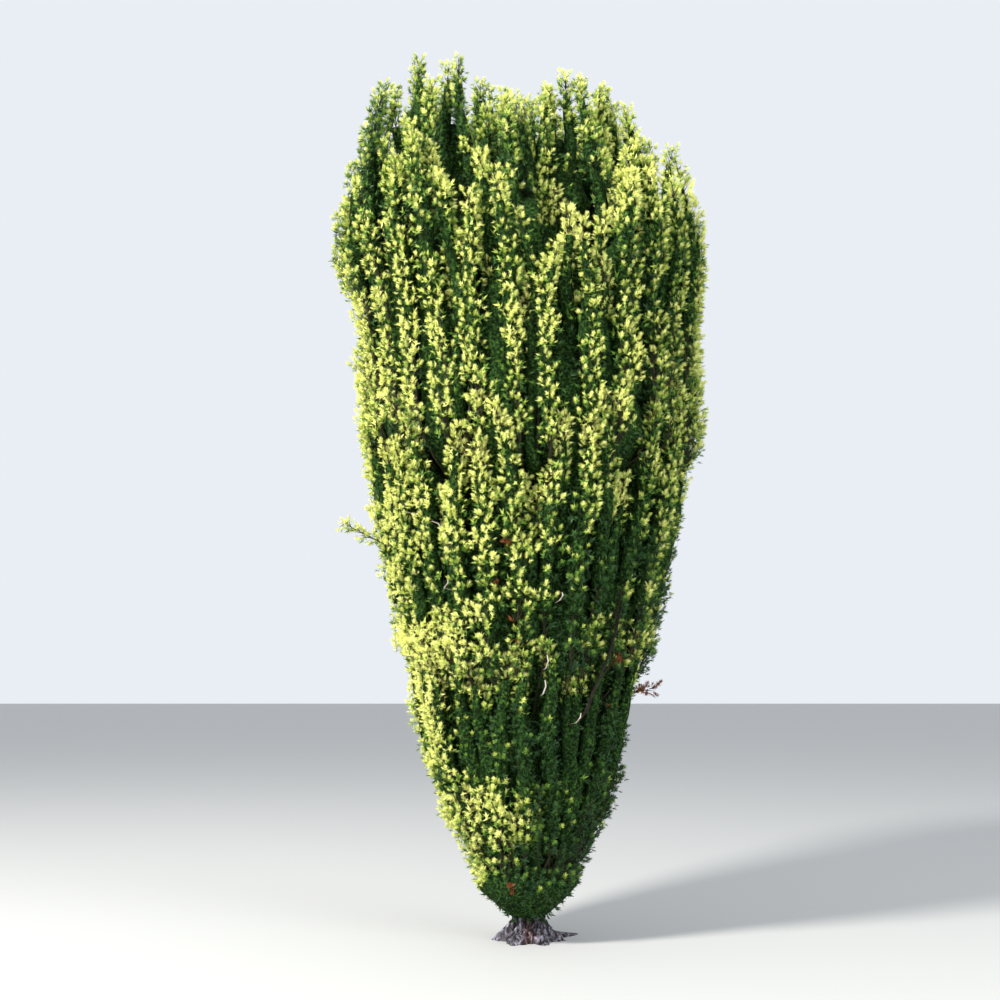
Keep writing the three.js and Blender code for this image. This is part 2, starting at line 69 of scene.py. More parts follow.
# seat is what a column's stem stands on, how far out from the middle of that face, the angle between the
# columns that share a face, and the angle that the pair or three look along.
RINGS = [
    Values(
        name="skirt", count=7, turn=-90, foot=(170, 190), girth=268, stand=2000,
        foot_share=0.16, full=(0.3, 0.76), swing=0.1, seat=("trunk", 136, 0, 0),
        tips=(2030, 2180, 1960, 2120, 2060, 2240, 2100),
    ),
    Values(
        name="flank", count=10, turn=-108, foot=(330, 1290), girth=285, stand=2000,
        foot_share=0.5, full=(0.3, 0.72), swing=0.24, seat=("main_bough", 25, 84, 0),
        tips=(3560, 3700, 3850, 3560, 3900, 3620, 3760, 3540, 3980, 3660),
    ),
    Values(
        name="outer", count=15, turn=-102, foot=(610, 2780), girth=262, stand=2000,
        foot_share=0.5, full=(0.24, 0.6), swing=0.2, seat=("upper_bough", 13, 62, 0),
        tips=(5070, 4700, 5250, 5420, 4960, 5900, 5950, 6000, 5900, 6020, 5960, 5740, 5500, 5870, 5420),
    ),
    Values(
        name="inner", count=10, turn=-96, foot=(440, 3060), girth=245, stand=700,
        foot_share=0.6, full=(0.3, 0.66), swing=0.3, seat=("upper_bough", 13, -62, 180),
        tips=(5780, 5950, 6030, 6100, 6200, 6240, 6180, 6290, 6220, 6050),
    ),
    Values(
        name="centre", count=3, turn=-30, foot=(130, 3300), girth=240, stand=255,
        foot_share=0.6, full=(0.3, 0.66), swing=0.3, seat=("upper_leader_bough", 11, 0, 0),
        tips=(6100, 6240, 6140),
    ),
]
AZIMUTH_JITTER = 0.1
TIP_TAPER = 2.1
TIP_SHARE = 0.03

# The trunk's bark: clefts with their degrees round it and their depth, and what sinks or raises the rest.
TRUNK_SIDES = 220
TRUNK_RINGS = 64
CLEFTS = [
    (-128, 0.02), (-104, 0.034), (-68, 0.036), (-38, 0.02), (12, 0.03), (66, 0.034), (118, 0.03),
    (172, 0.034), (206, 0.024),
]
CLEFT_WIDTH = 0.1
CLEFT_BEND = Values(size=0.12, pace=16)
FIBRES = Values(around=0.16, along=0.25, size=0.012, height=0.006)
PITS = Values(size=0.024, level=0.12, most=0.5, depth=0.05)
BARK = Values(sunk=0.006, neck_sunk=0.026, neck_from=0.12)
BOUGH_BARK = Values(sides=18, rings=60, share=0.97, along=0.25, size=0.012, height=0.0035)

# Leaders of a column: sideways and outwards from its centre line as shares of its half width, up to a share
# of its height, and their own half width as a share of the column's.
LEADERS = {
    "skirt": [
        (0, 0, 1, 0.5), (0, 0.56, 0.96, 0.42), (0.62, 0.42, 0.98, 0.42), (-0.62, 0.42, 0.94, 0.42),
        (1, 0.2, 0.92, 0.38), (-1, 0.2, 0.86, 0.38), (0.34, 0.6, 0.5, 0.36), (-0.34, 0.6, 0.44, 0.36),
    ],
    "flank": [
        (0, 0, 1, 0.5), (0, 0.6, 0.86, 0.38), (0.58, 0.46, 0.95, 0.4), (-0.58, 0.46, 0.9, 0.4),
        (0.98, 0.2, 0.76, 0.36), (-0.98, 0.2, 0.7, 0.34),
    ],
    "outer": [
        (0, 0, 1, 0.44), (0.5, 0.48, 0.97, 0.43), (-0.5, 0.48, 0.9, 0.43), (1, 0.16, 0.86, 0.38),
        (-1, 0.16, 0.78, 0.36), (0.25, -0.9, 0.95, 0.42),
    ],
    "inner": [
        (0, 0.05, 1, 0.46), (0.8, 0.1, 0.99, 0.4), (-0.8, 0.1, 0.975, 0.4), (0.1, 1.15, 0.965, 0.4),
        (0, -0.6, 0.955, 0.4),
    ],
    "centre": [(0, 0.1, 1, 0.48), (0.6, -0.2, 0.96, 0.4), (-0.6, -0.1, 0.97, 0.4)],
}
LEADER_JITTER = (0.1, 0.06)
TOP_JITTER = (-0.03, 0.02)
TOP_MARGIN = 0.095
SPIRES_APART = 0.62
SWAYS = ((0.016, 5.1), (0.01, 11.3))  # metres, and radians per metre of height
STEM_SHARE = 0.12  # of a column's height, in which it goes over from its stem's seat to its place
LEADER_MARGIN = 0.03
SPIRE = Values(length=0.55, point=0.24, swell=0.8, space=0.04, low=4.6, depth=0.14)
LEADER_LUMPS = Values(share=0.1, pace=17)
LEADER_FOOT = Values(begun=0.08, over=0.22)
LEADER_LEAST = 0.035
LEADER_SET_IN = 0.1
LEADER_RADII = (0.012, 0.003)
LEADER_RINGS = 14

# Side twigs, in metres and radians from upright. Below a leader's top they spread over a share of the full
# turn, round the way their column faces, because twigs on the crown's inner side die off. Twigs that end
# deeper than deepest under those round them aren't seen.
TWIG = Values(
    radius=0.005, step=0.0035, jitter=0.02, turn_jitter=0.4, around=0.62, all_round_above=0.6, near_top=0.3,
    tilt=(0.62, 0.95), top_tilt=0.4, foot_tilt=1.4, foot_tilt_over=(0.18, 0.5), rise=0.14,
    reach=(0.86, 1.06), in_groove=0.6, lowest=0.12, deepest=0.2,
)
FOOT_DROOP = Values(size=0.065, low=0.19, over=0.25)
LUMPS = Values(size=0.13, share=0.3, level=0.5)
BILLOWS = Values(size=0.32, shares=(0.38, 0.2), over=(1.8, 1.6), level=0.4)

# Rosettes at the ends of side twigs: one shoot at the end and others round it. Dark shoots fill the space
# behind; their darkness is painted shade, along with the older dark needles deep in the crown. A kind of
# shoot has its length, how far it spreads from its twig, how far back it starts (filling as a share of its
# length), the number of its needles, and their width on a shoot one unit long.
ROSETTE = Values(space=0.041, deepest=0.052, chance=0.03, sides=2, turn_jitter=0.3, lift=0.25)
FILLING_SPACE = 0.052
FILLING_DEPTH = (0.02, 0.13)
NEEDLE_WIDTH = 0.1
SHOOTS = (
    Values(length=(0.052, 0.064), spread=(0, 0.6), back=0.034, needles=28, width=NEEDLE_WIDTH),
    Values(length=(0.042, 0.054), spread=(0.65, 1.25), back=0.032, needles=9, width=1.5 * NEEDLE_WIDTH),
    Values(length=(0.06, 0.085), spread=0.5, back=0.6, needles=8, width=0.2),
)
END, SIDE, FILLING = range(3)
SHOOT_STYLES = 6
NEEDLE = Values(
    start=0.46, span=0.42, turn_jitter=0.3, tilt=(1.6, 0.3), tilt_jitter=0.2, closing=1.3,
    length=(0.46, 0.4), length_jitter=(0.82, 1.18), arch=0.2, lift=0.05, upper_from=0.58,
)
MOST_TRIANGLES = 190000

# Cells round the crown and on top of it, which tell how deep a twig lies.
AROUND_CELLS = 126
LEVEL_CELL = 0.07
TOP_CELLS = 80
WIDE_CELLS = 2
ABOVE_SHARE = 0.4

# The rough dark insides: of columns, of leaders' upper parts, and of the crown's middle. Their dark colour
# is painted shade in place of the shaded twigs and needles there. Roughness is the height, size and seed of
# its bumps.
INSIDE = Values(
    width=0.62, setback=0.26, above_foot=0.02, step=0.07, sides=14, end_over=0.6,
    least=0.01, set_in=0.1, rough=((0.045, 0.1, 9), (0.02, 0.04, 10)),
    begin={"skirt": 0.6, "flank": 0.3, "outer": 0.3, "inner": 0.3, "centre": 0.3},
    below_top={"skirt": 0.5, "flank": 0.4, "outer": 0.6, "inner": 0.5, "centre": 0.5},
)
LEADER_INSIDE = Values(
    width=0.44, length=1.2, above_foot=0.1, below_top=0.15, rings=12, sides=6, rough=((0.012, 0.05, 11),),
)
HEART = Values(
    low=0.118, high=5.3, step=0.05, sides=28, share=0.62, set_in=0.12, least=0.03,
    foot_set_in=0.05, foot_over=(0.3, 0.35), begin_over=0.06, end_over=0.5,
    rough=(0.012, 0.05), rough_over=(0.2, 0.4), bumps=0.1,
)

# How far the crown reaches to the left and right of the axis, where that is less than its outline, and how
# much further than the outline twigs may reach at its foot and above.
LEFT_EDGE = [
    (3700, 1260), (3850, 1240), (4000, 1160), (4280, 1190), (4430, 1310), (4700, 1420), (5050, 1310),
    (5350, 1150), (5800, 1060), (6300, 960),
]
RIGHT_EDGE = [(4300, 1310), (4700, 1330), (4960, 1260), (5190, 1190), (5600, 1140), (5800, 960), (6130, 780)]
FREEDOM = (-0.04, 0.03)
FREEDOM_OVER = (0.35, 1.1)

# Places in the picture, 1000 units wide and high: across, down, and half a width. Patches are more golden or
# greener by the last value: partly the crown's own golden and green patches, partly painted light on shoots
# in shadowed recesses and painted shade in dark hollows. Grooves and patches reach back to a little behind
# the crown's middle.
GROOVES = [
    ((416, 95), (426, 206), 6), ((492, 160), (494, 204), 5), ((519, 164), (530, 247), 7),
    ((531, 285), (527, 388), 6), ((590, 702), (622, 606), 8), ((447, 300), (443, 380), 4),
    ((590, 210), (586, 330), 4), ((630, 230), (634, 370), 4), ((388, 250), (392, 340), 4),
]
GROOVE_EDGE = 1.6
GROOVES_BEFORE = 0.1
PATCHES = [
    ((490, 822), 40, 0.45), ((463, 627), 36, 0.3), ((475, 878), 15, 0.3), ((617, 500), 20, 0.35),
    ((640, 588), 12, 0.5), ((574, 685), 16, 0.35), ((488, 728), 34, -0.35), ((576, 785), 50, -0.3),
    ((548, 880), 44, -0.25), ((514, 902), 20, -0.4), ((552, 735), 34, -0.14), ((430, 660), 46, 0.25),
    ((625, 620), 46, 0.2), ((600, 800), 44, 0.2), ((405, 440), 44, -0.16), ((375, 130), 40, -0.12),
    ((577, 208), 34, 0.4), ((458, 158), 24, 0.3), ((395, 290), 44, 0.18), ((520, 622), 34, -0.12),
    ((565, 610), 36, -0.2), ((530, 470), 36, 0.15),
]
PATCH_EDGE = 1.5
PATCHES_BEFORE = 0.2
SKY_GAPS = [((660, 138), (659, 226), 4)]
SKY_GAP_EDGE = 1.5
RUST = Values(
    places=[(505, 540), (495, 578), (509, 620), (515, 640), (617, 658), (610, 705), (512, 888), (653, 688)],
    spread=5, jitter=(0.6, 1.2), share=0.7, tone=9,
)
SPRIGS = [
    Values(start=(392, 548), end=(345, 524), column=("flank", 9), twigs=24, tone=0.95),
    Values(start=(632, 694), end=(652, 688), column=("flank", 2), twigs=9, tone=None),
]
SPRIG = Values(
    depth=-0.12, spread=0.7, lift=0.3, twig=(0.02, 0.07), inner=0.35, drop=0.12, radii=(0.009, 0.003),
)
PALE_TWIGS = [
    ((546, 668), (547, 655)), ((543, 694), (545, 680)), ((576, 723), (581, 713)),
    ((404, 512), (418, 515)), ((432, 521), (441, 528)), ((444, 588), (448, 579)), ((560, 600), (562, 592)),
]
BARE_BOUGH = [(586, 712), (594, 690), (606, 662), (616, 632), (622, 604)]

CAMERA_PLACE = (-0.187, -8.687, 1.60)
CAMERA_PITCH = math.radians(8.956)
CAMERA_TURN = (math.cos(CAMERA_PITCH), math.sin(CAMERA_PITCH))
CAMERA_LENS = 45
SENSOR_WIDTH = 36
PICTURE = 1000
FOCAL = PICTURE * CAMERA_LENS / SENSOR_WIDTH
# The sun's side of the crown, where the shoots' tones are more golden: partly the yew's own gold and partly
# painted light.
SUN_AZIMUTH = math.radians(205)


def seeded(seed):
    """The solid model's source of random numbers from 0 to 1."""
    state = seed

    def following():
        nonlocal state
        state = (state * 1664525 + 1013904223) & 0xFFFFFFFF
        return state / 4294967296

    return following


def along(outline, z):
    """The value of an outline at a height, both in metres."""
    heights, values = np.array(outline, float).T * MM
    return np.interp(z, heights, values)


def smooth(t):
    t = np.clip(t, 0, 1)
    return t * t * (3 - 2 * t)


def rising(z, start, over):
    """From 0 up to start to 1 from a little higher on."""
    return smooth((z - start) / over)


def lerp(a, b, t):
    return a + (b - a) * t


def crown_middle(z):
    return np.stack([along(CROWN_LEAN, z), np.zeros(len(z)), z], -1)


def polar(azimuth, distance, z):
    azimuth, distance, z = np.broadcast_arrays(azimuth, distance, z)
    return np.stack([distance * np.cos(azimuth), distance * np.sin(azimuth), z], -1).astype(float)


def circle(sides):
    """Level directions all round."""
    return polar(FULL_TURN * np.arange(sides) / sides, 1, 0)


def jitter(rng, size, count):
    return rng.uniform(-size, size, count)


def unit(vectors):
    return vectors / np.maximum(np.linalg.norm(vectors, axis=-1, keepdims=True), 1e-9)


def noise(points, size, seed):
    """Smooth noise from -1 to 1 in blobs of the given size."""
    cell = np.asarray(points, float) / size
    low = np.floor(cell).astype(np.int64)
    part = smooth(cell - low)
    total = np.zeros(len(cell))
    for corner in itertools.product((0, 1), repeat=3):
        x, y, z = (low + corner).T
        mixed = (x * 73856093) ^ (y * 19349663) ^ (z * 83492791) ^ (seed * 40503)
        mixed = ((mixed ^ (mixed >> 13)) * 1274126177) & 0xFFFFFFFF
        value = ((mixed ^ (mixed >> 15)) & 0xFFFF) / 32767.5 - 1
        total += value * np.prod(np.where(corner, part, 1 - part), axis=1)
    return total


def trunk_point(azimuth, z):
    top = TRUNK_OUTLINE[-1][0] * MM
    depth = lerp(*FLUTES.share, z / top)
    flutes = np.cos(FLUTES.count * azimuth + FLUTES.bunching * np.sin(azimuth) + FLUTES.start)
    uneven = FOOT_OVAL.share * np.sin(2 * azimuth + FOOT_OVAL.start)
    radius = along(TRUNK_OUTLINE, z) * (1 + depth * flutes + uneven * (1 - z / top))
    turn = azimuth - math.radians(SURFACE_ROOT.azimuth)
    away = np.abs(np.arctan2(np.sin(turn), np.cos(turn))) / math.radians(SURFACE_ROOT.spread)
    low = np.clip(1 - z / (SURFACE_ROOT.height * MM), 0, 1)
    return radius + SURFACE_ROOT.reach * MM * low * low * np.exp(-(away**2))


class Upright:
    """What grows from a low height to a high one."""

    def share(self, z):
        return np.clip((z - self.low) / (self.high - self.low), 0, 1)


class Bough(Upright):
    """A limb from its foot to its tip, with a slight swing to one side."""

    def __init__(self, name, spec, ahead, side):
        self.name = name
        self.low, self.high = (spec.foot[1] + CLEAR) * MM, spec.tip[1] * MM
        self.swing = BOUGH_SWELL * (self.high - self.low) * side
        self.turn, self.azimuth = (math.radians(degrees + ahead) for degrees in spec.turn)
        self.start = polar(self.turn, spec.foot[0] * MM, 0)
        self.end = polar(self.azimuth, spec.tip[0] * MM, 0)
        self.radii = [radius * MM for radius in spec.radii]

    def centre(self, z):
        t = np.atleast_1d(self.share(z))
        place = self.start + (self.end - self.start) * t[:, None]
        place[:, 2] = z
        return place + polar(self.turn + math.pi / 2, self.swing * np.sin(math.pi * t), 0)

    def radius(self, z):
        return lerp(*self.radii, self.share(z))


def all_boughs():
    boughs = []
    for name, spec in (("main_bough", MAIN_BOUGHS), ("upper_bough", UPPER_BOUGHS)):
        for i in range(spec.count):
            boughs.append(Bough(f"{name}_{i + 1}", spec, 360 * i / spec.count, 1 if i % 2 else -1))
    boughs.append(Bough("leader_bough", LEADER, 0, 0))
    boughs.append(Bough("upper_leader_bough", UPPER_LEADER, 0, 0))
    return boughs


class Column(Upright):
    """One mass of foliage: its centre line, its half width and the seat of its stem."""

    def __init__(self, ring, number, boughs):
        random = seeded(101 * ring.count + 7 * number + 3)
        spacing = 360 / ring.count
        self.ring, self.number = ring, number
        self.name = f"{ring.name}_foliage_{number + 1}"
        self.azimuth = math.radians(ring.turn + spacing * (number + AZIMUTH_JITTER * (random() - 0.5)))
        self.low, self.high = ring.foot[1] * MM, ring.tips[number] * MM
        self.outwards = polar(self.azimuth, 1, 0)
        self.sideways = polar(self.azimuth + math.pi / 2, 1, 0)
        self.seat = self.seat_among({bough.name: bough for bough in boughs})

    def seat_among(self, boughs):
        on, out, apart, facing = self.ring.seat
        if on == "trunk":
            return polar(self.azimuth, out * MM, (MAIN_BOUGHS.foot[1] + CLEAR) * MM)
        if on in boughs:
            bough, direction = boughs[on], self.azimuth
        else:
            share = self.ring.count // UPPER_BOUGHS.count
            bough = boughs[f"{on}_{self.number // share + 1}"]
            place = self.number % share - (share - 1) / 2
            direction = bough.azimuth + math.radians(facing + apart * place)
        return bough.centre(bough.high)[0] + polar(direction, out * MM, CLEAR * MM)

    def half_width(self, z):
        t = self.share(z)
        start, end = self.ring.full
        narrow = lerp(self.ring.foot_share, 1, smooth(t / start))
        taper = 1 - np.clip((t - end) / (1 - end), 0, 1) ** TIP_TAPER
        return self.ring.girth * MM * np.where(t < start, narrow, np.maximum(TIP_SHARE, taper))

    def centre(self, z):
        z = np.atleast_1d(z)
        t = self.share(z)
        outer = np.minimum(along(CROWN_OUTLINE, z) - self.half_width(z), self.ring.stand * MM)
        distance = lerp(self.ring.foot[0] * MM, outer, smooth(t / self.ring.swing))
        place = polar(self.azimuth, distance, z)
        place[:, 0] += along(CROWN_LEAN, z)
        return place

    def from_seat(self, z, place):
        """A line that starts over the stem's seat and soon goes over to the given places."""
        begun = smooth((z - self.low) / (STEM_SHARE * (self.high - self.low)))[:, None]
        seat = self.seat * [1, 1, 0] + np.outer(z, UP)
        return lerp(seat, place, begun)


class Leader:
    """An upright branch inside a column, which the side twigs stand on."""

    def __init__(self, column, spec, rng):
        sideways, outwards, end, width = spec
        self.column = column
        self.sideways = sideways + LEADER_JITTER[0] * rng.uniform(-1, 1)
        self.outwards = outwards + LEADER_JITTER[1] * rng.uniform(-1, 1)
        drop = 0 if end == 1 else rng.uniform(*TOP_JITTER)
        self.low = column.low
        self.high = column.low + (column.high - column.low) * (end + drop) - TOP_MARGIN
        self.width = width
        self.wobble = rng.uniform(0, FULL_TURN, 3)

    def centre(self, z):
        z = np.atleast_1d(z)
        column = self.column
        apart = np.maximum(column.half_width(z), SPIRES_APART * column.ring.girth * MM)
        place = column.centre(z)
        place += np.outer(self.sideways * apart, column.sideways)
        place += np.outer(self.outwards * apart, column.outwards)
        sway = sum(size * np.sin(z * pace + start) for (size, pace), start in zip(SWAYS, self.wobble))
        place += np.outer(sway, column.sideways)
        return column.from_seat(z, place)

    def reach(self, z):
        """How far its side twigs reach."""
        below = np.clip(self.high - z, 0, None)
        spire = np.clip(SPIRE.point + (1 - SPIRE.point) * (below / SPIRE.length) ** SPIRE.swell, 0, 1)
        wave = LEADER_LUMPS.share * np.sin(z * LEADER_LUMPS.pace + self.wobble[2])
        lumps = 1 + wave * np.clip(below / TWIG.near_top, 0, 1)
        full = self.width * self.column.ring.girth * MM
        grown = smooth((z - self.low + LEADER_FOOT.begun) / LEADER_FOOT.over)
        return np.maximum(LEADER_LEAST, full * spire * lumps * grown)


def placed(name, data):
    """A new object in the scene."""
    item = bpy.data.objects.new(name, data)
    bpy.context.scene.collection.objects.link(item)
    return item


def mesh_piece(name, points, faces, material, smooth_shade=False):
    """A mesh from arrays of its points and of its faces, which all have as many corners."""
    mesh = bpy.data.meshes.new(name)
    faces = np.asarray(faces, np.int32)
    mesh.vertices.add(len(points))
    mesh.vertices.foreach_set("co", np.asarray(points, np.float32).ravel())
    mesh.loops.add(faces.size)
    mesh.loops.foreach_set("vertex_index", faces.ravel())
    mesh.polygons.add(len(faces))
    mesh.polygons.foreach_set("loop_start", np.arange(0, faces.size, faces.shape[1], dtype=np.int32))
    if smooth_shade:
        mesh.polygons.foreach_set("use_smooth", np.ones(len(faces), bool))
    mesh.update(calc_edges=True)
    mesh.materials.append(material)
    return placed(name, mesh)


def turned_to(directions, rolls):
    """Rotations that carry +Z to each direction, after a roll about it."""
    forward = unit(directions)
    guide = np.where(np.abs(forward[:, 2:3]) < 0.9, [[0.0, 0.0, 1.0]], [[1.0, 0.0, 0.0]])
    side = unit(np.cross(guide, forward))
    other = np.cross(forward, side)
    cosine, sine = np.cos(rolls)[:, None], np.sin(rolls)[:, None]
    return np.stack([side * cosine + other * sine, other * cosine - side * sine, forward], -1)


def shoot_shape(rng, needles, width):
    """Needles round a shoot one unit long: four points each, and how far up the shoot each stands."""
    step = (np.arange(needles) + 0.5) / needles
    around = GOLDEN_ANGLE * np.arange(needles) + jitter(rng, NEEDLE.turn_jitter, needles)
    tilt = lerp(*NEEDLE.tilt, step**NEEDLE.closing) + jitter(rng, NEEDLE.tilt_jitter, needles)
    length = lerp(*NEEDLE.length, step) * rng.uniform(*NEEDLE.length_jitter, needles)
    out = polar(around, 1, 0)
    side = np.cross(UP, out)
    forward = out * np.sin(tilt)[:, None] + UP * np.cos(tilt)[:, None]
    arched = np.cross(side, forward)
    base = np.outer(NEEDLE.start + NEEDLE.span * step, UP)
    middle = base + forward * (0.5 * length)[:, None] + arched * NEEDLE.arch * width
    tip = base + forward * length[:, None] + UP * NEEDLE.lift
    half = side * (0.5 * width)
    blades = np.stack([base, middle + half, tip, middle - half], 1)
    spines = np.stack([base + half, tip, base - half], 1)
    return blades, spines, step


def joined_needles(shoots, corners):
    """The same needles on all the shoots, each as its corners."""
    turned = np.einsum("sij,nj->sni", shoots.turn, corners.reshape(-1, 3))
    return (turned * shoots.length[:, None, None] + shoots.base[:, None, :]).reshape(-1, *corners.shape[1:])


def blades_and_spines(blades, spines):
    """Points and triangles of needles: blades have four points and two triangles, spines three and one."""
    blades, spines = blades.reshape(-1, 3), spines.reshape(-1, 3)
    corner = np.arange(0, len(blades), 4)[:, None]
    faces = [corner + [0, 1, 2], corner + [0, 2, 3], len(blades) + np.arange(len(spines)).reshape(-1, 3)]
    return np.concatenate([blades, spines]), np.concatenate(faces)


def spikes(starts, ends, radius):
    """Three-sided spikes, one per start and end: points and triangles."""
    turn = turned_to(ends - starts, np.zeros(len(starts)))
    low = starts[:, None] + np.einsum("sij,nj->sni", turn, radius * circle(3))
    points = np.concatenate([low, ends[:, None]], 1).reshape(-1, 3)
    first = np.arange(len(starts))[:, None] * 4
    return points, np.concatenate([first + [0, 1, 3], first + [1, 2, 3], first + [2, 0, 3]])


def tube(centres, radii, sides, relief=None):
    """A closed tube through centres with level rings, whose points relief(points) moves outwards."""
    rings = len(centres)
    out = np.broadcast_to(circle(sides), (rings, sides, 3))
    points = centres[:, None] + out * np.reshape(radii, (rings, -1, 1))
    if relief is not None:
        flat = points.reshape(-1, 3)
        points = (flat + relief(flat)[:, None] * out.reshape(-1, 3)).reshape(points.shape)
    a = np.arange(rings - 1)[:, None] * sides + np.arange(sides)
    b = np.arange(rings - 1)[:, None] * sides + (np.arange(sides) + 1) % sides
    quads = ((a, b, b + sides), (a, b + sides, a + sides))
    faces = [np.stack(corners, -1).reshape(-1, 3) for corners in quads]
    points = np.concatenate([points.reshape(-1, 3), centres[:1], centres[-1:]])
    i = np.arange(sides)
    following = (i + 1) % sides
    last = (rings - 1) * sides
    foot, head = np.full(sides, rings * sides), np.full(sides, rings * sides + 1)
    faces += [np.stack([foot, following, i], -1), np.stack([head, last + i, last + following], -1)]
    return points, np.concatenate(faces)


def gathered(parts):
    """Several (points, faces) as one."""
    points, faces, count = [], [], 0
    for some_points, some_faces in parts:
        points.append(some_points)
        faces.append(some_faces + count)
        count += len(some_points)
    return np.concatenate(points), np.concatenate(faces)


# Materials.
def linear(red, green, blue):
    """A colour in linear light from its usual values up to 255."""

    def one(value):
        value /= 255
        return value / 12.92 if value <= 0.04045 else ((value + 0.055) / 1.055) ** 2.4

    return (one(red), one(green), one(blue), 1)


def fill(node, inputs):
    """Gives a shader node's inputs their values, or links them to the outputs of other nodes."""
    for name, value in inputs.items():
        if isinstance(value, bpy.types.NodeSocket):
            node.id_data.links.new(value, node.inputs[name])
        else:
            node.inputs[name].default_value = value
    return node


def plain_material(name, colour, roughness, specular=0.3):
    material = bpy.data.materials.new(name)
    material.use_nodes = True
    look = {"Base Color": colour, "Roughness": roughness, "Specular IOR Level": specular}
    fill(material.node_tree.nodes["Principled BSDF"], look)
    return material


def patterned_material(name, stops, scale, roughness, detail=6, bump=0.4, stretch=1, specular=0.3):
    """Blotches of several colours from noise in the object's own space, with a bump from the same noise."""
    stops = [(position, linear(*colour)) for position, colour in stops]
    material = plain_material(name, stops[0][1], roughness, specular)
    nodes = material.node_tree.nodes
    place = nodes.new("ShaderNodeTexCoord").outputs["Object"]
    mapping = fill(nodes.new("ShaderNodeMapping"), {"Scale": (1, 1, stretch), "Vector": place})
    pattern = {"Scale": scale, "Detail": detail, "Roughness": 0.62, "Vector": mapping.outputs["Vector"]}
    blotches = fill(nodes.new("ShaderNodeTexNoise"), pattern).outputs["Fac"]
    ramp = fill(nodes.new("ShaderNodeValToRGB"), {"Fac": blotches})
    while len(ramp.color_ramp.elements) < len(stops):
        ramp.color_ramp.elements.new(0.5)
    for element, (position, colour) in zip(ramp.color_ramp.elements, stops):
        element.position = position
        element.color = colour
    relief = {"Strength": bump, "Distance": 0.004, "Height": blotches}
    raised = fill(nodes.new("ShaderNodeBump"), relief)
    look = {"Base Color": ramp.outputs["Color"], "Normal": raised.outputs["Normal"]}
    fill(nodes["Principled BSDF"], look)
    return material


def redden_middle(material):
    """The stem in the trunk's middle is reddish brown, in the object's own space."""
    nodes = material.node_tree.nodes
    shader = nodes["Principled BSDF"]
    place = nodes.new("ShaderNodeTexCoord").outputs["Object"]
    parts = fill(nodes.new("ShaderNodeSeparateXYZ"), {"Vector": place})
    away = fill(nodes.new("ShaderNodeMath"), {0: parts.outputs["X"]})
    away.operation = "ABSOLUTE"
    shares = {"From Min": 0.025, "From Max": 0.055, "To Min": 0.75, "To Max": 0}
    share = fill(nodes.new("ShaderNodeMapRange"), {"Value": away.outputs["Value"], **shares})
    bark = shader.inputs["Base Color"].links[0].from_socket
    mix = {"Fac": share.outputs["Result"], "Color1": bark, "Color2": linear(214, 168, 148)}
    mixed = fill(nodes.new("ShaderNodeMixRGB"), mix)
    mixed.blend_type = "MULTIPLY"
    fill(shader, {"Base Color": mixed.outputs["Color"]})


NEEDLE_COLOURS = {
    "gold": linear(240, 243, 150),
    "lime": linear(198, 211, 104),
    "leaf": linear(118, 152, 60),
    "green": linear(66, 104, 46),
    "deep": linear(44, 76, 38),
    "rust": linear(132, 76, 42),
}
COLOUR_STEPS = ("deep", "green", "leaf", "lime", "gold")
# Tones go from 0 for deep green to 1 for gold: how much they vary by rosette and by shoot, those of the
# filling, how much paler or greener some shoots are, and the share of the contrast on the shaded side. The
# darker filling and the greener hanging, hollow and lower needles are painted shade, along with the yew's
# own greener growth out of the sun.
TONES = Values(
    rosette=0.11, shoot=0.06, filling=(-0.3, 0.12), end_paler=0.06, side_greener=0.04, hanging_greener=0.26,
    hollow_greener=0.5, lower_greener=0.16, shade_share=0.2,
)
# Height in metres, how golden the crown is there from 0 to 1, and how much more on the sunny side. The extra
# gold on the sunny side is partly the yew's own, which grows where the sun falls, and partly painted light.
TONE_LEVELS = [
    (0.2, 0.38, 0.14), (0.5, 0.6, 0.3), (0.9, 0.62, 0.5), (1.4, 0.5, 0.6), (2.1, 0.58, 0.62),
    (3.0, 0.9, 0.3), (4.0, 1.0, 0.2), (5.0, 0.96, 0.0), (6.2, 0.7, -0.1),
]
BLOTCHES = Values(shares=(0.3, 0.16), over=(1.5, 2), size=0.35, seed=5)
SPECKS = Values(share=0.14, size=0.12, seed=6)
# Shoots that lie sunk under others are greener by this much: painted shade.
SUNK_SHADE_GREENER = Values(share=7, least=0.025, most=0.1)
TIPS_PALER = Values(share=0.15, over=0.5)


def in_picture(points):
    """Where the camera sees points in the picture: across and down."""
    x, y, z = (points - np.array(CAMERA_PLACE)).T
    cosine, sine = CAMERA_TURN
    depth = y * cosine + z * sine
    up = z * cosine - y * sine
    return np.stack([PICTURE / 2 + FOCAL * x / depth, PICTURE / 2 - FOCAL * up / depth], -1)


def from_picture(across, down, y):
    """The point at a depth y that the camera sees at a place in the picture."""
    cosine, sine = CAMERA_TURN
    over, up = (across - PICTURE / 2) / FOCAL, (PICTURE / 2 - down) / FOCAL
    away = y - CAMERA_PLACE[1]
    rise = away * (sine + up * cosine) / (cosine - up * sine)
    x = CAMERA_PLACE[0] + over * (away * cosine + rise * sine)
    return np.array([x, y, CAMERA_PLACE[2] + rise])


def on_front(across, down, set_in):
    """The point of the crown's front face at a place in the picture, set in by a distance."""
    y, rounds, least = -1.0, 6, 0.01
    for _ in range(rounds):
        x, _, z = from_picture(across, down, y)
        reach = along(CROWN_OUTLINE, z) - set_in
        y = -math.sqrt(max(reach**2 - (x - along(CROWN_LEAN, z)) ** 2, least))
    return from_picture(across, down, y)


def beside(seen, start, end):
    """How far places in the picture are from a line in it."""
    start, end = np.array(start, float), np.array(end, float)
    share = np.clip((seen - start) @ (end - start) / np.sum((end - start) ** 2), 0, 1)
    return np.linalg.norm(seen - start - share[:, None] * (end - start), axis=1)


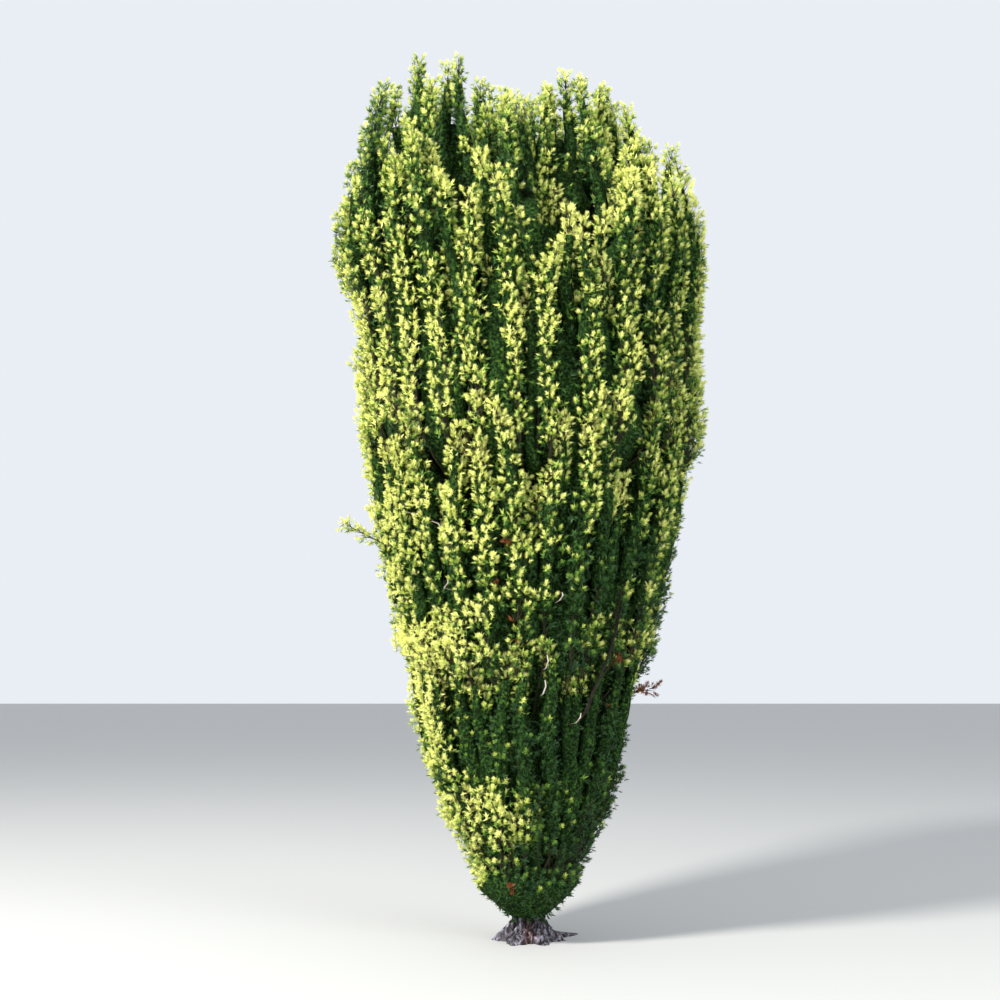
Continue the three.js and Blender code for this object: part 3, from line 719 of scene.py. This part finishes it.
def in_groove(points):
    """From 0 to 1, how much points lie in a groove of the front or in a gap that shows the sky."""
    seen = in_picture(points)
    front = points[:, 1] < GROOVES_BEFORE
    deep = np.zeros(len(points))
    for lines, edge, where in ((GROOVES, GROOVE_EDGE, front), (SKY_GAPS, SKY_GAP_EDGE, 1)):
        for start, end, half in lines:
            deep = np.maximum(deep, where * smooth(edge - beside(seen, start, end) / half))
    return deep


def tone_of(tips, sunk):
    """How golden shoots are, from 0 to 1, by where they grow. This holds painted light on the sunny side,
    painted light and shade in patches, and painted shade where shoots lie sunk.
    """
    x, y, z = tips.T
    azimuth = np.arctan2(y, x - along(CROWN_LEAN, z))
    # The sunny side is more golden and the shaded side greener: partly the yew's own gold, which grows where
    # the sun falls, and partly painted light and shade.
    sunny = np.cos(azimuth - SUN_AZIMUTH)
    sunny = np.where(sunny > 0, sunny, TONES.shade_share * sunny)
    heights, levels, contrasts = zip(*TONE_LEVELS)
    tone = np.interp(z, heights, levels) + np.interp(z, heights, contrasts) * sunny
    blotches = lerp(*BLOTCHES.shares, rising(z, *BLOTCHES.over))
    blotches = blotches * noise(tips, BLOTCHES.size, BLOTCHES.seed)
    tone += blotches + SPECKS.share * noise(tips, SPECKS.size, SPECKS.seed)
    seen, front = in_picture(tips), y < PATCHES_BEFORE
    # Patches of the front: painted light on shoots in shadowed recesses and painted shade in dark hollows,
    # besides the crown's own golden and green patches.
    for place, radius, change in PATCHES:
        tone += change * front * smooth(PATCH_EDGE - np.linalg.norm(seen - place, axis=1) / radius)
    # Shoots sunk under others turn greener: painted shade.
    return tone - SUNK_SHADE_GREENER.share * np.clip(sunk - SUNK_SHADE_GREENER.least, 0, SUNK_SHADE_GREENER.most)


def kept_in(points, set_in=0):
    """Points drawn in to the crown's outline, closely at its foot and with some freedom above."""
    z = points[:, 2]
    points = points.copy()
    points[:, 0] = np.clip(points[:, 0], set_in - along(LEFT_EDGE, z), along(RIGHT_EDGE, z) - set_in)
    middle = crown_middle(z)
    out = points - middle
    limit = along(CROWN_OUTLINE, z) + lerp(*FREEDOM, rising(z, *FREEDOM_OVER)) - set_in
    return middle + out * np.minimum(1, limit / np.maximum(np.linalg.norm(out, axis=1), 1e-6))[:, None]


def grow_leader(leader, rng):
    """The side twigs of a leader, as arrays."""
    column = leader.column
    count = int((leader.high - leader.low) / TWIG.step)
    z = np.linspace(leader.low, leader.high - TWIG.jitter, count) + jitter(rng, TWIG.jitter, count)
    z = np.clip(z, leader.low, leader.high - TWIG.jitter / 2)
    near_top = np.clip((leader.high - z) / TWIG.near_top, 0, 1)
    around = GOLDEN_ANGLE * np.arange(count) + jitter(rng, TWIG.turn_jitter, count)
    around = around % FULL_TURN - math.pi
    around = column.azimuth + around * lerp(1, TWIG.around, smooth((leader.high - z) / TWIG.all_round_above))
    tilt = rng.uniform(*TWIG.tilt, count) * lerp(TWIG.top_tilt, 1, near_top)
    tilt = lerp(TWIG.foot_tilt, tilt, rising(z, *TWIG.foot_tilt_over))
    foot = kept_in(leader.centre(z), LEADER_SET_IN)
    reach = leader.reach(np.minimum(z + TWIG.rise * near_top, leader.high))
    reach = reach * rng.uniform(*TWIG.reach, count)
    direction = polar(around, np.sin(tilt), np.cos(tilt))
    end = foot + direction * (reach / np.sin(tilt))[:, None]
    end = lerp(end, foot, TWIG.in_groove * in_groove(end)[:, None])
    lumps = LUMPS.share * smooth(LUMPS.level - noise(end, LUMPS.size, 21))
    billows = lerp(*BILLOWS.shares, rising(z, *BILLOWS.over))
    billows = billows * smooth(BILLOWS.level - noise(end, BILLOWS.size, 22))
    hollows = (lumps + billows) * near_top
    end = lerp(end, foot, hollows[:, None])
    droop = FOOT_DROOP.size * smooth(1 - (z - FOOT_DROOP.low) / FOOT_DROOP.over)
    end[:, 2] = np.minimum(end[:, 2], leader.high) - droop
    end = kept_in(end)
    return Values(
        foot=foot, end=end, direction=unit(end - foot), length=np.linalg.norm(end - foot, axis=1),
        below_top=leader.high - end[:, 2], hollow=hollows,
    )


def shoot_table(twigs, base, direction, length, kind, tint):
    return Values(
        base=base, direction=direction, length=length, tint=tint, kind=np.full(len(length), kind),
        column=twigs.column, sunk=twigs.sunk, below_top=twigs.below_top,
    )


def rosettes_on(twigs, rng):
    """At the end of each side twig a shoot that goes on outwards and others spread round it."""
    forward = unit(twigs.direction + ROSETTE.lift * UP)
    side = unit(np.cross(forward, UP))
    above = np.cross(side, forward)
    count = len(forward)
    first_turn = rng.uniform(0, FULL_TURN, count)
    # Shoots in hollows are greener: painted shade, along with the yew's greener growth out of the sun.
    tint = rng.normal(0, TONES.rosette, count) - TONES.hollow_greener * twigs.hollow
    made = []
    for number in range(ROSETTE.sides + 1):
        kind = SIDE if number else END
        spec = SHOOTS[kind]
        spread = rng.uniform(*spec.spread, count)
        turn = first_turn + FULL_TURN * number / ROSETTE.sides
        turn = turn + jitter(rng, ROSETTE.turn_jitter, count)
        around = side * np.cos(turn)[:, None] + above * np.sin(turn)[:, None]
        direction = forward * np.cos(spread)[:, None] + around * np.sin(spread)[:, None]
        length = rng.uniform(*spec.length, count)
        base = twigs.end - forward * spec.back
        # Those that hang under the others are greener: painted shade, along with the yew's greener growth
        # out of the sun.
        greener = TONES.side_greener + TONES.hanging_greener * np.clip(0.5 - around[:, 2], 0, 1)
        tone = tint - greener if number else tint + TONES.end_paler
        made.append(shoot_table(twigs, base, direction, length, kind, tone))
    return joined(made)


def sprig(spec, number, rng):
    """Side twigs along a branch that stands out from the crown, and the branch itself."""
    start, end = from_picture(*spec.start, SPRIG.depth), from_picture(*spec.end, SPRIG.depth)
    count = spec.twigs
    share = np.linspace(0.1, 1, count)[:, None]
    foot = lerp(start, end, share)
    direction = unit(unit(end - start) + rng.normal(0, SPRIG.spread, (count, 3)) + SPRIG.lift * UP)
    tip = foot + direction * rng.uniform(*SPRIG.twig, (count, 1))
    twigs = Values(
        foot=foot, end=tip, direction=direction, length=np.linalg.norm(tip - foot, axis=1),
        below_top=np.ones(count), column=np.full(count, number), sunk=np.zeros(count),
        buried=np.zeros(count), hollow=np.zeros(count),
    )
    shoots = rosettes_on(twigs, rng)
    shoots.tone = shoots.tint + spec.tone if spec.tone else np.full(len(shoots.tint), RUST.tone)
    inner = start - unit(end - start) * SPRIG.inner - SPRIG.drop * UP
    stem = np.array([inner, lerp(inner, start, 0.6), start, lerp(start, end, 0.5), end])
    return twigs, shoots, tube(stem, np.linspace(*SPRIG.radii, len(stem)), 5)


def bare_limb(places, set_in, foot_share, foot_drop, radii, sides, bend=(0, 0, 0)):
    """A bare limb along places on the crown's front, from a foot that lies further in and lower."""
    places = [on_front(*place, set_in) for place in places]
    places[1] += bend
    foot = places[0] * (foot_share, foot_share, 1) - (0, 0, foot_drop)
    return tube(np.array([foot, *places]), radii, sides)


def filling_on(twigs, rng):
    """One broad dark shoot on each of the twigs that lie deeper; its dark tone is painted shade."""
    spec, count = SHOOTS[FILLING], len(twigs.length)
    direction = unit(twigs.direction + rng.normal(0, spec.spread, (count, 3)))
    length = rng.uniform(*spec.length, count)
    base = twigs.end - direction * (spec.back * length)[:, None]
    return shoot_table(twigs, base, direction, length, FILLING, rng.normal(*TONES.filling, count))


def joined(tables):
    """Tables of twigs or shoots, which are arrays by name, as one."""
    names = vars(tables[0])
    return Values(**{name: np.concatenate([vars(table)[name] for table in tables]) for name in names})


def picked(table, mask):
    return Values(**{name: values[mask] for name, values in vars(table).items()})


def spaced(points, score, least):
    """Marks points that keep their least distance from each other. Those with the lowest score are first."""
    least = np.broadcast_to(least, len(points))
    cell = float(least.max())
    cells = {}
    chosen = np.zeros(len(points), bool)
    places = [tuple(point) for point in points.tolist()]
    keys = [tuple(key) for key in np.floor(points / cell).astype(int).tolist()]
    steps = list(itertools.product((-1, 0, 1), repeat=3))
    for number in np.argsort(score, kind="stable").tolist():
        place, (x, y, z) = places[number], keys[number]
        near = (other for i, j, k in steps for other in cells.get((x + i, y + j, z + k), ()))
        if all(math.dist(place, other) >= least[number] for other in near):
            cells.setdefault((x, y, z), []).append(place)
            chosen[number] = True
    return chosen


def buried_depth(points, spread):
    """How deep points lie under the furthest ones near them, seen from all round or from above."""
    x, y, z = points.T
    x = x - along(CROWN_LEAN, z)
    around = ((np.arctan2(y, x) / FULL_TURN + 0.5) * AROUND_CELLS).astype(int) % AROUND_CELLS
    level = (z / LEVEL_CELL).astype(int) + 1
    radial = np.hypot(x, y)
    surface = np.zeros((AROUND_CELLS, level.max() + 2))
    np.maximum.at(surface, (around, level), radial)
    surface[:, 1:-1] = np.maximum(surface[:, 1:-1], np.maximum(surface[:, :-2], surface[:, 2:]))
    surface = np.max([np.roll(surface, step, 0) for step in range(-spread, spread + 1)], 0)
    from_side = surface[around, level] - radial
    cell = tuple((np.floor(points[:, :2] / LEVEL_CELL).astype(int) + TOP_CELLS // 2).T)
    top = np.zeros((TOP_CELLS, TOP_CELLS))
    np.maximum.at(top, cell, z)
    return np.minimum(from_side, ABOVE_SHARE * (top[cell] - z))


def leaders_of(column):
    rng = np.random.default_rng(1000 + 37 * RINGS.index(column.ring) + column.number)
    return [Leader(column, spec, rng) for spec in LEADERS[column.ring.name]]


def grown(columns):
    """The side twigs that end in rosettes, and every shoot of the plant, with the number of its column."""
    grown_twigs = []
    for number, column in enumerate(columns):
        rng = np.random.default_rng(5000 + number)
        for leader in leaders_of(column):
            twigs = grow_leader(leader, rng)
            twigs.column = np.full(len(twigs.length), number)
            grown_twigs.append(twigs)
    twigs = joined(grown_twigs)
    twigs.buried = buried_depth(twigs.end, 0)
    twigs.sunk = np.minimum(buried_depth(twigs.end, WIDE_CELLS), SPIRE.depth * twigs.below_top)
    twigs = picked(twigs, (twigs.buried < TWIG.deepest) & (twigs.end[:, 2] > TWIG.lowest))
    rng = np.random.default_rng(77)
    score = twigs.sunk + rng.uniform(0, ROSETTE.chance, len(twigs.length))
    spire = (twigs.below_top < SPIRE.length) & (twigs.end[:, 2] > SPIRE.low)
    ended = spaced(twigs.end, score, np.where(spire, SPIRE.space, ROSETTE.space))
    ended &= twigs.sunk < ROSETTE.deepest
    rest = picked(twigs, ~ended)
    rest = picked(rest, (rest.buried > FILLING_DEPTH[0]) & (rest.buried < FILLING_DEPTH[1]))
    rest = picked(rest, spaced(rest.end, rng.uniform(0, 1, len(rest.length)), FILLING_SPACE))
    twigs = picked(twigs, ended)
    shoots = joined([rosettes_on(twigs, rng), filling_on(rest, rng)])
    tips = shoots.base + shoots.direction * shoots.length[:, None]
    shoots.tone = tone_of(tips, shoots.sunk) + shoots.tint + rng.normal(0, TONES.shoot, len(tips))
    shoots.tone += TIPS_PALER.share * np.clip(1 - shoots.below_top / TIPS_PALER.over, 0, 1)
    seen = in_picture(tips)
    for place in RUST.places:
        spread = RUST.spread * rng.uniform(*RUST.jitter, len(tips))
        near = np.linalg.norm(seen - place, axis=1) < spread
        near &= (tips[:, 1] < 0) & (rng.uniform(0, 1, len(tips)) < RUST.share)
        shoots.tone[near] = RUST.tone
    stems = []
    for spec in SPRIGS:
        number = [(column.ring.name, column.number) for column in columns].index(spec.column)
        more_twigs, more_shoots, stem = sprig(spec, number, rng)
        twigs, shoots = joined([twigs, more_twigs]), joined([shoots, more_shoots])
        stems.append(stem)
    return twigs, shoots, stems


def colour_number(tone):
    """The place of a tone in COLOUR_STEPS, or one past it for rust."""
    steps = len(COLOUR_STEPS)
    shade = np.clip(tone * steps, 0, steps - 0.001).astype(int)
    return np.where(tone > RUST.tone - 1, steps, shade)


def needles_of(shoots, rng):
    """The needles on shoots, by colour, as blades and spines."""
    needles = {colour: ([np.zeros((0, 4, 3))], [np.zeros((0, 3, 3))]) for colour in NEEDLE_COLOURS}
    style = rng.integers(0, SHOOT_STYLES, len(shoots.length))
    shoots.turn = turned_to(shoots.direction, rng.uniform(0, FULL_TURN, len(style)))
    for look in range(SHOOT_STYLES):
        for kind, spec in enumerate(SHOOTS):
            blades, spines, step = shoot_shape(rng, spec.needles, spec.width)
            for upper in (False, True):
                part = (step >= NEEDLE.upper_from) == upper
                # The lower needles of a shoot are greener: painted shade, along with the yew's older green
                # needles below its golden tip.
                shade = colour_number(shoots.tone - (0 if upper else TONES.lower_greener))
                as_blades = upper and kind == END
                corners = (blades if as_blades else spines)[part]
                for number, colour in enumerate((*COLOUR_STEPS, "rust")):
                    mask = (shoots.kind == kind) & (style == look) & (shade == number)
                    if mask.any():
                        kept = needles[colour][0 if as_blades else 1]
                        kept.append(joined_needles(picked(shoots, mask), corners))
    return {colour: [np.concatenate(part) for part in parts] for colour, parts in needles.items()}


def dark_tube(line, girth, spec):
    """A rough tube that keeps inside the crown."""

    def relief(points):
        return sum(height * noise(points, size, seed) for height, size, seed in spec.rough)

    points, faces = tube(line, girth, spec.sides, relief)
    return kept_in(points, INSIDE.set_in), faces


def shaded_inside(column):
    """The rough dark inside of a column, painted shade, which shows between its shoots."""
    name = column.ring.name
    top = column.high - INSIDE.below_top[name]
    z = np.arange(column.low + INSIDE.above_foot, top, INSIDE.step)
    half = column.half_width(z)
    begun = smooth((z - column.low) / INSIDE.begin[name])
    girth = INSIDE.width * half * begun * smooth((top - z) / INSIDE.end_over) ** 0.5
    centre = column.centre(z) - column.outwards * (INSIDE.setback * half)[:, None]
    return dark_tube(column.from_seat(z, centre), girth + INSIDE.least, INSIDE)


def heart():
    """The dark mass in the middle of the crown, painted shade in place of its shaded twigs, which fills its
    whole width at the foot.
    """
    z = np.arange(HEART.low, HEART.high, HEART.step)
    outline = along(CROWN_OUTLINE, z)
    girth = np.maximum(HEART.least, HEART.share * outline - HEART.set_in)
    girth = lerp(outline - HEART.foot_set_in, girth, rising(z, *HEART.foot_over))
    girth *= smooth((z - HEART.low) / HEART.begin_over)
    girth *= smooth((HEART.high - z) / HEART.end_over) ** 0.5

    def roughness(points):
        height = lerp(*HEART.rough, rising(points[:, 2], *HEART.rough_over))
        return height * noise(points, HEART.bumps, 12)

    return tube(crown_middle(z), girth + INSIDE.least, HEART.sides, roughness)


def leader_inside(leader):
    """The dark inside of a leader's upper part, painted shade."""
    low = max(leader.low + LEADER_INSIDE.above_foot, leader.high - LEADER_INSIDE.length)
    z = np.linspace(low, leader.high - LEADER_INSIDE.below_top, LEADER_INSIDE.rings)
    return dark_tube(leader.centre(z), LEADER_INSIDE.width * leader.reach(z), LEADER_INSIDE)


def leader_wood(leader):
    """The leader itself."""
    z = np.linspace(leader.low + MM, leader.high - LEADER_MARGIN, LEADER_RINGS)
    line = kept_in(leader.centre(z), LEADER_SET_IN)
    return tube(line, np.linspace(*LEADER_RADII, LEADER_RINGS), 5)


def dress(piece, replaced):
    """A piece of the tree hangs from the root body and stands for solids of the model, which it hides."""
    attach(piece, "root")
    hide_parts(*replaced)


def foliage(group, members, columns, twigs, shoots, materials):
    """Needles, side twigs and shaded insides for several columns."""
    rng = np.random.default_rng(4000 + len(members) + ord(group[0]))
    numbers = [columns.index(column) for column in members]
    twigs = picked(twigs, np.isin(twigs.column, numbers))
    shoots = picked(shoots, np.isin(shoots.column, numbers))
    replaced = [column.name for column in members]

    def add(name, mesh, material):
        dress(mesh_piece(f"{group}_{name}", *mesh, materials[material]), replaced)

    for colour, (blades, spines) in needles_of(shoots, rng).items():
        pieces = math.ceil((2 * len(blades) + len(spines)) / MOST_TRIANGLES)
        blades, spines = (np.array_split(needles, max(1, pieces)) for needles in (blades, spines))
        for number in range(pieces):
            ending = f"_{number + 1}" if pieces > 1 else ""
            add(f"needles_{colour}{ending}", blades_and_spines(blades[number], spines[number]), colour)
    wood = [spikes(twigs.foot, twigs.end, TWIG.radius)]
    insides = [shaded_inside(column) for column in members]
    for column in members:
        for leader in leaders_of(column):
            wood.append(leader_wood(leader))
            insides.append(leader_inside(leader))
    if group == "inner":
        insides.append(heart())
    add("twigs", gathered(wood), "twig")
    add("shaded_inside", gathered(insides), "inside")


def trunk_mesh():
    azimuth = FULL_TURN * np.arange(TRUNK_SIDES) / TRUNK_SIDES
    heights = np.linspace(0, TRUNK_OUTLINE[-1][0] * MM, TRUNK_RINGS)
    radii = np.stack([trunk_point(azimuth, z) for z in heights])

    def relief(points):
        x, y, z = points.T
        turn = np.arctan2(y, x)
        ridges = noise(polar(turn, FIBRES.around, z * FIBRES.along), FIBRES.size, 3)
        pits = np.clip(noise(points, PITS.size, 4) - PITS.level, 0, PITS.most)
        moved = -BARK.sunk - BARK.neck_sunk * smooth(z / BARK.neck_from)
        moved = moved + FIBRES.height * ridges - PITS.depth * pits
        for number, (degrees, depth) in enumerate(CLEFTS):
            bend = CLEFT_BEND.size * np.sin(z * CLEFT_BEND.pace + number)
            away = turn - math.radians(degrees) + bend
            away = np.arctan2(np.sin(away), np.cos(away)) / CLEFT_WIDTH
            moved -= depth * np.exp(-(away**2))
        return moved

    return tube(np.outer(heights, UP), radii, TRUNK_SIDES, relief)


def bough_meshes(boughs):
    def relief(points):
        return BOUGH_BARK.height * noise(points * [1, 1, BOUGH_BARK.along], BOUGH_BARK.size, 8)

    parts = []
    for bough in boughs:
        z = np.linspace(bough.low, bough.high, BOUGH_BARK.rings)
        radii = bough.radius(z) * BOUGH_BARK.share
        parts.append(tube(bough.centre(z), radii, BOUGH_BARK.sides, relief))
    return gathered(parts)


boughs = all_boughs()
columns = [Column(ring, number, boughs) for ring in RINGS for number in range(ring.count)]

needle_materials = {
    name: plain_material(f"needles_{name}", colour, roughness=0.5) for name, colour in NEEDLE_COLOURS.items()
}
needle_materials["twig"] = plain_material("green_twigs", linear(46, 44, 25), roughness=0.8)
# The insides' dark green and black blotches are painted shade.
needle_materials["inside"] = patterned_material(
    "shaded_inside", [(0.38, (14, 22, 11)), (0.52, (30, 52, 22)), (0.66, (62, 94, 40))],
    scale=55, roughness=1, detail=3, specular=0.05,
)
trunk_bark = patterned_material(
    "trunk_bark",
    [(0.38, (13, 13, 17)), (0.47, (52, 47, 50)), (0.55, (100, 95, 104)), (0.69, (168, 166, 182))],
    scale=42, roughness=0.92, bump=0.8, stretch=0.4,
)
redden_middle(trunk_bark)
bough_bark = patterned_material(
    "bough_bark", [(0.32, (52, 34, 28)), (0.5, (104, 74, 60)), (0.7, (140, 116, 102))],
    scale=30, roughness=0.92, bump=0.6, stretch=0.3,
)
pale_wood = patterned_material(
    "pale_wood", [(0.35, (120, 104, 92)), (0.5, (186, 172, 160)), (0.65, (214, 204, 196))],
    scale=60, roughness=0.85, stretch=0.2,
)
# The bare bough's bark is dark of its own, and darker still as painted shade of the gap the bough lies in.
dark_wood = patterned_material(
    "dark_wood", [(0.35, (20, 15, 12)), (0.55, (38, 29, 23)), (0.7, (64, 50, 40))],
    scale=50, roughness=0.9, stretch=0.2,
)

trunk = mesh_piece("trunk_with_bark", *trunk_mesh(), trunk_bark, smooth_shade=True)
dress(trunk, ["trunk"])
limbs = mesh_piece("boughs_with_bark", *bough_meshes(boughs), bough_bark, smooth_shade=True)
dress(limbs, [bough.name for bough in boughs])

twigs, shoots, stems = grown(columns)
for group in ("skirt", "flank", "outer", "inner"):
    rings = ("inner", "centre") if group == "inner" else (group,)
    members = [column for column in columns if column.ring.name in rings]
    foliage(group, members, columns, twigs, shoots, needle_materials)

flanks = [column.name for column in columns if column.ring.name == "flank"]
pale_twigs = [
    bare_limb(
        [lerp(start, end, share) for share in (0, 0.5, 1)], set_in=0.03, foot_share=0.86, foot_drop=0.01,
        radii=(0.005, 0.005, 0.0045, 0.002), sides=6, bend=(0.012, 0, 0.004),
    )
    for start, end in np.array(PALE_TWIGS)
]
bare_bough = bare_limb(
    BARE_BOUGH, set_in=0.08, foot_share=0.4, foot_drop=0.25, sides=8,
    radii=np.linspace(0.014, 0.005, 1 + len(BARE_BOUGH)),
)
for name, made, material in (
    ("sprig_stems", gathered(stems), needle_materials["twig"]),
    ("pale_bare_twigs", gathered(pale_twigs), pale_wood),
    ("dark_bare_bough", bare_bough, dark_wood),
):
    dress(mesh_piece(name, *made, material, smooth_shade=True), flanks)

# The floor, the light and the camera.
FLOOR_REACH = 300.0
floor_corners = FLOOR_REACH * np.array([(-1, -1, 0), (1, -1, 0), (1, 1, 0), (-1, 1, 0)])
floor_material = plain_material("pale_floor", (0.5, 0.5, 0.49, 1), roughness=0.9)
mesh_piece("floor", floor_corners, [(0, 1, 2, 3)], floor_material)

world = bpy.data.worlds.new("studio")
bpy.context.scene.world = world
world.use_nodes = True
fill(world.node_tree.nodes["Background"], {"Color": (0.86, 0.9, 0.96, 1), "Strength": 0.95})


def soft_light(name, place, aim, size, power, colour):
    data = bpy.data.lights.new(name, "AREA")
    data.shape = "DISK"
    data.size = size
    data.energy = power
    data.color = colour
    light = placed(name, data)
    light.location = place
    light.rotation_euler = (Vector(aim) - Vector(place)).to_track_quat("-Z", "Y").to_euler()


soft_light("key", place=(-10, -9, 13), aim=(0, 0, 3), size=3, power=4800, colour=(1, 0.98, 0.93))
soft_light("fill", place=(9, -8, 5), aim=(0, 0, 2.5), size=6, power=680, colour=(0.96, 0.98, 1))

camera_data = bpy.data.cameras.new("camera")
camera_data.lens = CAMERA_LENS
camera_data.sensor_width = SENSOR_WIDTH
camera_data.clip_end = 2000
camera = placed("camera", camera_data)
camera.location = CAMERA_PLACE
camera.rotation_euler = (math.pi / 2 + CAMERA_PITCH, 0, 0)
bpy.context.scene.camera = camera
bpy.context.scene.view_settings.view_transform = "Standard"
